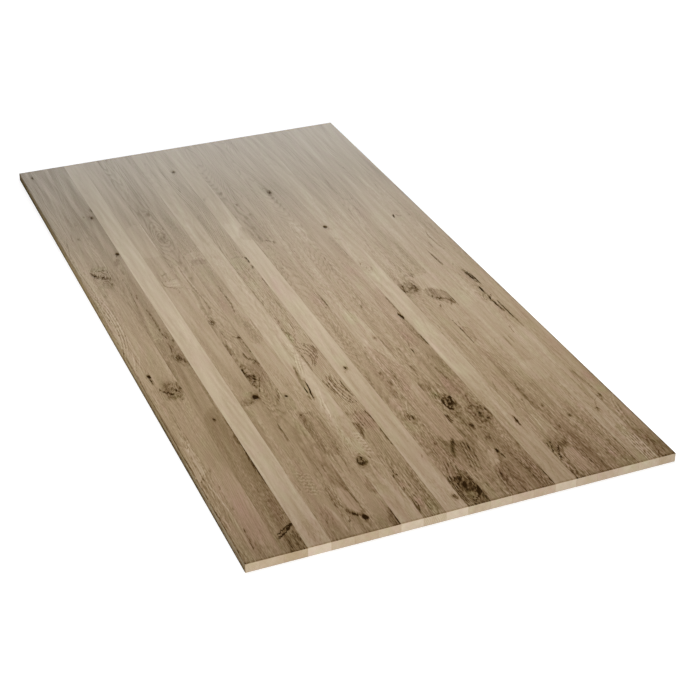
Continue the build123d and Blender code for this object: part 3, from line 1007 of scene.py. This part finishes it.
def stitch(upper, lower, upper_x, lower_x):
    """Triangles between two rows of corners that differ in number, both from left to right."""
    faces = []
    i = j = 0
    while i < len(upper) - 1 or j < len(lower) - 1:
        lower_done = j == len(lower) - 1
        if lower_done or (i < len(upper) - 1 and upper_x[i + 1] <= lower_x[j + 1]):
            faces.append((upper[i], lower[j], upper[i + 1]))
            i += 1
        else:
            faces.append((upper[i], lower[j], lower[j + 1]))
            j += 1
    return faces


def stave_mesh(name, stave, width, first, last):
    """A closed board: a tube of rows along the stave and a cap on each end, eased as the CAD is."""
    left = ARRIS if first else 0.0
    right = width - (ARRIS if last else 0.0)
    rows = row_places(stave)
    columns = column_places(stave, rows, left, right)
    under = np.linspace(right, left, round(width / UNDER_COLUMN) + 1)
    across = columns.shape[1]
    sides = len(SIDE_LEVELS)

    # Each row is a loop: over the top, down the right side, under, and up the left side
    top = slice(0, across)
    right_side = slice(across, across + sides)
    bottom = slice(across + sides, across + sides + len(under))
    loop = bottom.stop + sides
    left_side = slice(bottom.stop, loop)
    points = np.zeros((len(rows), loop, 3))
    points[:, :, 1] = rows[:, None]
    points[:, top, 0] = columns
    points[:, top, 2] = THICKNESS
    points[:, right_side, 0] = width
    points[:, right_side, 2] = SIDE_LEVELS
    points[:, bottom, 0] = under
    points[:, left_side, 2] = SIDE_LEVELS[::-1]
    for end in (0, -1):
        points[end, top, 2] = THICKNESS - ARRIS
        points[end, bottom, 2] = ARRIS
        points[end, right_side, 0] = right
        points[end, left_side, 0] = left
    vertices = points.reshape(-1, 3)

    row_start = np.arange(len(rows) - 1)[:, None] * loop
    here = np.arange(loop)[None, :]
    after = (here + 1) % loop
    corners = (row_start + here, row_start + after, row_start + loop + after, row_start + loop + here)
    faces = np.stack(corners, -1).reshape(-1, 4).tolist()

    extra = []
    for base in (0, (len(rows) - 1) * loop):
        cap = [base + np.arange(across)]
        for level in range(1, sides - 1):
            start = len(vertices) + sum(len(e) for e in extra)
            inner = vertices[cap[0][1:-1]].copy()
            inner[:, 2] = SIDE_LEVELS[level]
            extra.append(inner)
            ends = base + loop - 1 - level, base + across + level
            cap.append(np.concatenate([[ends[0]], start + np.arange(across - 2), [ends[1]]]))
        for upper, lower in zip(cap, cap[1:]):
            faces += np.stack([upper[:-1], lower[:-1], lower[1:], upper[1:]], -1).tolist()
        lowest = base + np.arange(bottom.start, bottom.stop)[::-1]
        faces += [[int(c) for c in face] for face in stitch(cap[-1], lowest, columns[0], under[::-1])]

    mesh = bpy.data.meshes.new(name)
    mesh.from_pydata(np.concatenate([vertices, *extra]).tolist(), [], faces)
    shape = bmesh.new()
    shape.from_mesh(mesh)
    bmesh.ops.remove_doubles(shape, verts=shape.verts, dist=SAME_PLACE)
    bmesh.ops.recalc_face_normals(shape, faces=shape.faces)
    shape.to_mesh(mesh)
    shape.free()
    return mesh


def write_numbers(mesh, name, *columns):
    """Gives every vertex up to three numbers, which the shader reads by name."""
    values = np.zeros((len(mesh.vertices), 3), np.float32)
    for place, column in enumerate(columns):
        values[:, place] = column
    mesh.attributes.new(name, "FLOAT_VECTOR", "POINT").data.foreach_set("vector", values.ravel())


def make_stave(number, node, stave):
    """Builds one stave's board over its CAD node."""
    low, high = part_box(node)
    width = (high.x - low.x) / METRES
    first = number == 0
    last = number == len(NODES) - 1
    mesh = stave_mesh(node, stave, width, first, last)
    points = np.empty(len(mesh.vertices) * 3)
    mesh.vertices.foreach_get("co", points)
    points = points.reshape(-1, 3)
    x, y, z = points.T
    seed = 100 * (number + 1)
    wood = Wood(stave, seed, points)

    on_top = z > THICKNESS - SAME_LEVEL
    seam = np.minimum(x, width - x)
    from_end = np.minimum(y, LENGTH - y)
    placed = points.copy()
    carved = on_top & (seam > SEAM_MARGIN) & (from_end > 2 * ARRIS)
    placed[:, 2] -= np.where(carved, wood.hollow, 0.0)
    placed = placed * METRES + np.array([low.x, low.y, low.z])
    mesh.vertices.foreach_set("co", placed.ravel())
    mesh.update()

    # Painted shade along the eased top edges at the ends and the long sides, and painted shadow at the foot
    # of the outer long sides
    end_edge_shading = 1 - soft_step(from_end, 0.6, 2.6)
    shade = wood.shade + np.where(on_top, END_EDGE_PAINTED_SHADE * end_edge_shading, 0.0)
    if first or last:
        from_side = x if first else width - x
        side_edge_shading = 1 - soft_step(from_side, 0.6, 4.2)
        foot_shadow = 1 - soft_step(z, 1.0, 12.0)
        shade += np.where(on_top, SIDE_EDGE_PAINTED_SHADE * side_edge_shading, 0.0)
        shade += np.where(from_side < ARRIS, SIDE_FOOT_PAINTED_SHADOW * foot_shadow, 0.0)

    shift = GRAIN_SHIFT * number
    write_numbers(mesh, "grain", wood.fibre * METRES + shift, y * METRES, z * METRES + shift)
    write_numbers(mesh, "wood", wood.rings, wood.tone, wood.tint)
    write_numbers(mesh, "marks", wood.black, wood.knot_wood, stave.lines)
    write_numbers(mesh, "strokes", wood.line_gap, wood.line_shade)
    # The shade holds the marks, and also the painted shade along the outer edges and along each stave
    write_numbers(mesh, "edges", seam, stave.fleck, shade)

    mesh.polygons.foreach_set("use_smooth", np.ones(len(mesh.polygons), bool))
    mesh.set_sharp_from_angle(angle=CREASE)
    board = bpy.data.objects.new(f"{node}_board", mesh)
    bpy.context.scene.collection.objects.link(board)
    slot = next(s["material_slot"] for s in frame["record"]["subparts"] if s["node"] == node)
    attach(board, "root")
    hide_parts(node)
    return board, slot


# The wood shader


class Nodes:
    """Short calls for building the node tree of a material or a world."""

    def __init__(self, owner):
        owner.use_nodes = True
        self.tree = owner.node_tree
        self.tree.nodes.clear()

    def new(self, kind, inputs=(), **settings):
        node = self.tree.nodes.new(kind)
        for key, value in settings.items():
            setattr(node, key, value)
        for key, value in dict(inputs).items():
            self.put(value, node.inputs[key])
        return node

    def put(self, value, socket):
        if isinstance(value, bpy.types.NodeSocket):
            self.tree.links.new(value, socket)
        else:
            socket.default_value = value

    def math(self, operation, a, b=0.0, c=0.0, clamp=False):
        node = self.new("ShaderNodeMath", {0: a, 1: b, 2: c}, operation=operation, use_clamp=clamp)
        return node.outputs[0]

    def times(self, a, b):
        return self.math("MULTIPLY", a, b)

    def plus(self, total, *parts):
        """The total with each part added, times its strength."""
        for part, strength in parts:
            total = self.math("MULTIPLY_ADD", part, strength, total)
        return total

    def vector_times(self, a, b):
        return self.new("ShaderNodeVectorMath", {0: a, 1: b}, operation="MULTIPLY").outputs[0]

    def vector(self, x, y, z):
        return self.new("ShaderNodeCombineXYZ", {0: x, 1: y, 2: z}).outputs[0]

    def split(self, vector):
        return self.new("ShaderNodeSeparateXYZ", {0: vector}).outputs

    def range(self, value, low, high, to_low=0.0, to_high=1.0, smooth=True):
        kind = "SMOOTHSTEP" if smooth else "LINEAR"
        inputs = {"Value": value, "From Min": low, "From Max": high, "To Min": to_low, "To Max": to_high}
        return self.new("ShaderNodeMapRange", inputs, interpolation_type=kind).outputs["Result"]

    def attribute(self, name):
        found = self.new("ShaderNodeAttribute", attribute_type="GEOMETRY", attribute_name=name)
        return found.outputs["Vector"]

    def noise(self, vector, detail, roughness=0.5):
        """Noise about zero, from -1 to 1 or so."""
        inputs = {"Vector": vector, "Scale": 1.0, "Detail": detail, "Roughness": roughness}
        found = self.new("ShaderNodeTexNoise", inputs, noise_dimensions="3D")
        return self.math("MULTIPLY_ADD", found.outputs["Fac"], 2.0, -1.0)

    def ramp(self, value, stops):
        node = self.new("ShaderNodeValToRGB", {"Fac": value})
        elements = node.color_ramp.elements
        while len(elements) > 1:
            elements.remove(elements[0])
        elements[0].position, elements[0].color = stops[0]
        for place, colour in stops[1:]:
            elements.new(place).color = colour
        return node.outputs["Color"]

    def finish(self, kind, shader):
        out = self.new(kind)
        self.tree.links.new(shader.outputs[0], out.inputs["Surface"])


# Wood colours by darkness, from the palest sapwood to charred black
WOOD_COLOURS = (
    (0.00, (0.500, 0.400, 0.282)),
    (0.25, (0.400, 0.308, 0.203)),
    (0.50, (0.295, 0.208, 0.114)),
    (0.75, (0.192, 0.124, 0.053)),
    (1.00, (0.114, 0.067, 0.024)),
    (1.40, (0.022, 0.010, 0.002)),
)
DARK_RANGE = 1.6  # the darkness at the ramp's right end

# Noise that follows the fibres: metres across and along them, and detail
GRAINS = {
    "busy": (0.030, 0.20, 1),
    "broad": (0.011, 0.30, 2),
    "middle": (0.0030, 0.075, 2),
    "fine": (0.0010, 0.018, 2),
    "dashes": (0.0019, 0.012, 1),
    "pores": (0.00040, 0.0060, 1),
    "rays": (0.006, 0.0022, 1),
}
END_SPECKS = 0.0016  # metres, the size of the speckle on end grain

# What each of these adds to the darkness
BROAD_SHADE = 0.13
MIDDLE_SHADE = 0.17
FINE_SHADE = 0.20
RING_SHADE = 0.22
PORE_SHADE = 0.20
RAY_SHADE = -0.10
KNOT_RING_SHADE = 0.24
# painted shade that darkens the far end of the panel
FAR_END_PAINTED_SHADE = 0.09
CHAR_SHADE = 0.80
GLUE_SHADE = 0.14
LINE_SHADE = 1.45  # times a thin stroke's own shade

BUMP_DEPTH = 0.0003  # metres
BUMP_STRENGTH = 0.25
OILED_IOR = 1.22


def wood_material(name):
    material = bpy.data.materials.new(name)
    n = Nodes(material)
    grain = n.attribute("grain")
    _x, along, _z = n.split(grain)
    rings, tone, tint = n.split(n.attribute("wood"))
    black, knot_wood, lines = n.split(n.attribute("marks"))
    seam, fleck, shade = n.split(n.attribute("edges"))
    line_gap, line_shade, _ = n.split(n.attribute("strokes"))

    def noise(kind):
        across, lengthwise, detail = GRAINS[kind]
        return n.noise(n.vector_times(grain, (1 / across, 1 / lengthwise, 1 / across)), detail)

    # The grain is plainer towards the far end, in places, and in the pale staves
    plainer = n.range(along, 0.85, 1.6, 1.0, 0.15)
    plainer = n.times(plainer, n.range(noise("busy"), -0.35, 0.35, 0.50, 1.35))
    plainer = n.times(plainer, n.range(lines, 0.1, 0.5, 0.62, 1.05, smooth=False))
    broad = noise("broad")
    middle = n.times(noise("middle"), plainer)
    fine = n.times(noise("fine"), plainer)
    dashes = n.times(n.range(noise("dashes"), -0.36, 0.36, -1.0, 1.0), plainer)

    # Growth rings: a porous dark start that thins out into smooth late wood
    phase = n.math("FRACT", n.plus(rings, (middle, 0.22)))
    early = n.range(phase, 0.0, 0.55, 1.0, 0.0)
    late = n.range(phase, 0.86, 1.0, 0.0, 1.0)
    ring = n.math("SUBTRACT", n.math("ADD", early, late, clamp=True), 0.4)
    ring_shade = n.times(n.times(ring, lines), n.range(broad, -0.6, 0.6, 0.5, 1.3))
    pore_mask = n.range(noise("pores"), 0.16, 0.42)
    pore_shade = n.times(pore_mask, n.math("MULTIPLY_ADD", early, 0.75, 0.25))

    # Rays: short pale flecks that cross the fibres
    ray = n.times(n.range(noise("rays"), 0.28, 0.55), fleck)

    # The marks, softer towards the far end, and uneven as the grain takes them up
    softer = n.range(along, 0.6, 1.4, 1.0, 0.55)
    line_mask = n.times(n.range(n.plus(line_gap, (fine, 0.3)), -0.6, 0.4), softer)
    shade = n.plus(n.times(shade, softer), (n.times(line_mask, line_shade), LINE_SHADE))
    uneven = n.plus(1.0, (middle, 0.5), (dashes, 0.35))
    dash_shade = n.math("MULTIPLY_ADD", lines, 0.08, 0.03)
    # Past 1.15 m along, painted shade darkens the far end
    dark = n.plus(
        n.math("MULTIPLY_ADD", shade, uneven, tone),
        (n.range(along, 1.15, 1.50), FAR_END_PAINTED_SHADE),
        (broad, BROAD_SHADE),
        (middle, MIDDLE_SHADE),
        (fine, FINE_SHADE),
        (dashes, dash_shade),
        (ring_shade, RING_SHADE),
        (pore_shade, PORE_SHADE),
        (ray, RAY_SHADE),
        (n.times(ring, knot_wood), KNOT_RING_SHADE),
    )

    # End grain: paler, because the saw cut it and no oil has darkened it
    facing = n.split(n.new("ShaderNodeNewGeometry").outputs["Normal"])
    end = n.range(n.math("ABSOLUTE", facing[1]), 0.75, 0.95)
    side = n.range(n.math("ABSOLUTE", facing[2]), 0.3, 0.6, 1.0, 0.0)
    long_side = n.math("SUBTRACT", side, end)
    specks = n.noise(n.vector_times(grain, (1 / END_SPECKS, 0.0, 1 / END_SPECKS)), 2, 0.7)
    dark_end = n.math("MULTIPLY_ADD", tone, 0.70, -0.05)
    dark_end = n.plus(dark_end, (shade, 0.12), (ring_shade, RING_SHADE), (specks, 0.22))
    ends = {"Factor": end, "A": dark, "B": dark_end}
    dark = n.new("ShaderNodeMix", ends, data_type="FLOAT").outputs["Result"]

    # Hollow knots and cracks, with a ragged edge, and the hairline of glue at a seam
    char = n.times(n.range(n.plus(black, (fine, 0.9)), -0.7, 0.6), n.range(along, 0.8, 1.5, 1.0, 0.4))
    glue = n.range(seam, 0.10, 0.75, 1.0, 0.0)
    # Painted light and shade on the long sides: lighter at the near end, darker towards the far end
    long_side_painted_shading = n.range(along, 0.1, 0.8, -0.06, 0.08)
    dark = n.plus(dark, (char, CHAR_SHADE), (glue, GLUE_SHADE), (long_side, long_side_painted_shading))
    stops = [(d / DARK_RANGE, (*rgb, 1.0)) for d, rgb in WOOD_COLOURS]
    colour = n.ramp(n.math("DIVIDE", dark, DARK_RANGE), stops)

    # The oiled wood is a little pinker at the near end, and all of it greener at the far one
    near = n.times(n.range(along, 0.05, 0.40, 0.5, 0.0), n.math("SUBTRACT", 1.0, end))
    tint = n.math("ADD", n.math("ADD", tint, near), n.range(along, 0.9, 1.7, 0.0, -0.9))
    red = n.plus(1.0, (tint, 0.015))
    green = n.plus(1.0, (tint, -0.035), (long_side, 0.05))
    blue = n.plus(1.0, (tint, 0.02))
    colour = n.vector_times(colour, n.vector(red, green, blue))
    unoiled = [n.plus(1.0, (side, strength)) for strength in (0.03, 0.08, 0.20)]
    colour = n.vector_times(colour, n.vector(*unoiled))

    rough = n.plus(0.30, (pore_mask, 0.12), (fine, 0.05), (char, 0.25))
    rough = n.math("MULTIPLY_ADD", side, 0.35, rough, clamp=True)
    height = n.plus(n.times(fine, 0.35), (pore_mask, -0.6), (ring_shade, -0.3))
    bump = n.new("ShaderNodeBump", {"Height": height, "Strength": BUMP_STRENGTH, "Distance": BUMP_DEPTH})
    skin = {"Base Color": colour, "Roughness": rough, "Normal": bump.outputs[0], "IOR": OILED_IOR}
    oiled = n.new("ShaderNodeBsdfPrincipled", skin)

    # The darkest wood is open end grain in the knots, and has no gloss
    matt = n.new("ShaderNodeBsdfDiffuse", {"Color": colour, "Normal": bump.outputs[0]})
    dull = n.range(dark, 0.58, 1.25, 0.0, 0.95)
    both = n.new("ShaderNodeMixShader", {0: dull, 1: oiled.outputs[0], 2: matt.outputs[0]})
    n.finish("ShaderNodeOutputMaterial", both)
    return material


# Camera: where it stood for the photograph, in metres and degrees

CAMERA_PLACE = (-1.148, -3.0398, 1.8134)
CAMERA_YAW = 22.75  # to the right of the staves' direction
CAMERA_PITCH = 30.918  # down
CAMERA_LENS = 82.55  # millimetres
SENSOR_WIDTH = 36.0  # millimetres


def make_camera():
    data = bpy.data.cameras.new("camera")
    data.sensor_width = SENSOR_WIDTH
    data.lens = CAMERA_LENS
    data.clip_start, data.clip_end = 0.05, 100.0
    camera = bpy.data.objects.new("camera", data)
    camera.location = CAMERA_PLACE
    camera.rotation_euler = (math.radians(90 - CAMERA_PITCH), 0.0, math.radians(-CAMERA_YAW))
    bpy.context.scene.collection.objects.link(camera)
    bpy.context.scene.camera = camera


# Studio, in metres and watts

FLOOR_SIZE = 40.0
FLOOR_GAP = 0.0002  # between the floor and the panel's underside
FLOOR_GREY = 0.45
WORLD_LIGHT = 0.04
WHITE = (1, 1, 1, 1)


def seen_directly(n):
    """1 for what the camera sees, straight or in a gloss or through glass, and 0 for lighting."""
    path = n.new("ShaderNodeLightPath").outputs
    seen = n.math("MAXIMUM", path["Is Camera Ray"], path["Is Glossy Ray"])
    return n.math("MAXIMUM", seen, path["Is Transmission Ray"])


def make_floor():
    half = FLOOR_SIZE / 2
    mesh = bpy.data.meshes.new("floor")
    corners = [(-half, -half, 0), (half, -half, 0), (half, half, 0), (-half, half, 0)]
    mesh.from_pydata(corners, [], [(0, 1, 2, 3)])
    floor = bpy.data.objects.new("floor", mesh)
    floor.location.z = cad_bounds[0].z - FLOOR_GAP
    bpy.context.scene.collection.objects.link(floor)
    material = bpy.data.materials.new("floor_white")
    n = Nodes(material)
    matt = n.new("ShaderNodeBsdfDiffuse", {"Color": (FLOOR_GREY, FLOOR_GREY, FLOOR_GREY, 1)})
    # The glow makes up what the lamps leave short of white, which is more further out
    place = n.new("ShaderNodeNewGeometry").outputs["Position"]
    away = n.new("ShaderNodeVectorMath", {0: place}, operation="LENGTH").outputs["Value"]
    makes_up = n.math("ADD", n.range(away, 0.5, 1.9, 0.75, 0.99), n.range(away, 1.8, 3.2, 0.0, 0.06))
    strength = n.times(seen_directly(n), makes_up)
    glow = n.new("ShaderNodeEmission", {"Color": WHITE, "Strength": strength})
    both = n.new("ShaderNodeAddShader", {0: matt.outputs[0], 1: glow.outputs[0]})
    n.finish("ShaderNodeOutputMaterial", both)
    mesh.materials.append(material)


def make_world():
    world = bpy.data.worlds.new("studio")
    bpy.context.scene.world = world
    n = Nodes(world)
    strength = n.range(seen_directly(n), 0.0, 1.0, WORLD_LIGHT, 1.0, smooth=False)
    background = n.new("ShaderNodeBackground", {"Color": WHITE, "Strength": strength})
    n.finish("ShaderNodeOutputWorld", background)


def make_lamp(name, place, target, size, watts):
    data = bpy.data.lights.new(name, "AREA")
    data.shape = "RECTANGLE"
    data.size, data.size_y = size
    data.energy = watts
    lamp = bpy.data.objects.new(name, data)
    lamp.location = place
    lamp.rotation_mode = "QUATERNION"
    lamp.rotation_quaternion = (Vector(target) - Vector(place)).to_track_quat("-Z", "Y")
    bpy.context.scene.collection.objects.link(lamp)


make_camera()
materials = {slot: wood_material(slot) for slot in ("oak_pale", "oak_mid", "oak_brown")}
for number, (node, stave) in enumerate(zip(NODES, STAVES, strict=True)):
    board, slot = make_stave(number, node, stave)
    board.data.materials.append(materials[slot])
make_floor()
make_world()
# Each lamp's place, what it points at, its size and its watts
make_lamp("overhead_softbox", (0.04, -0.28, 1.3), (0.04, -0.28, 0), (1.8, 1.0), 22.1)
make_lamp("far_softbox", (1.3, 4.4, 1.3), (0.1, 0.7, 0), (3.0, 1.2), 60)
make_lamp("front_softbox", (-0.7, -3.4, 0.3), (0, -0.9, 0), (2.2, 0.5), 92)
make_lamp("left_softbox", (-1.5, 0.05, 0.16), (-0.45, 0.05, 0), (0.5, 0.2), 9)

bpy.context.scene.view_settings.view_transform = "Standard"
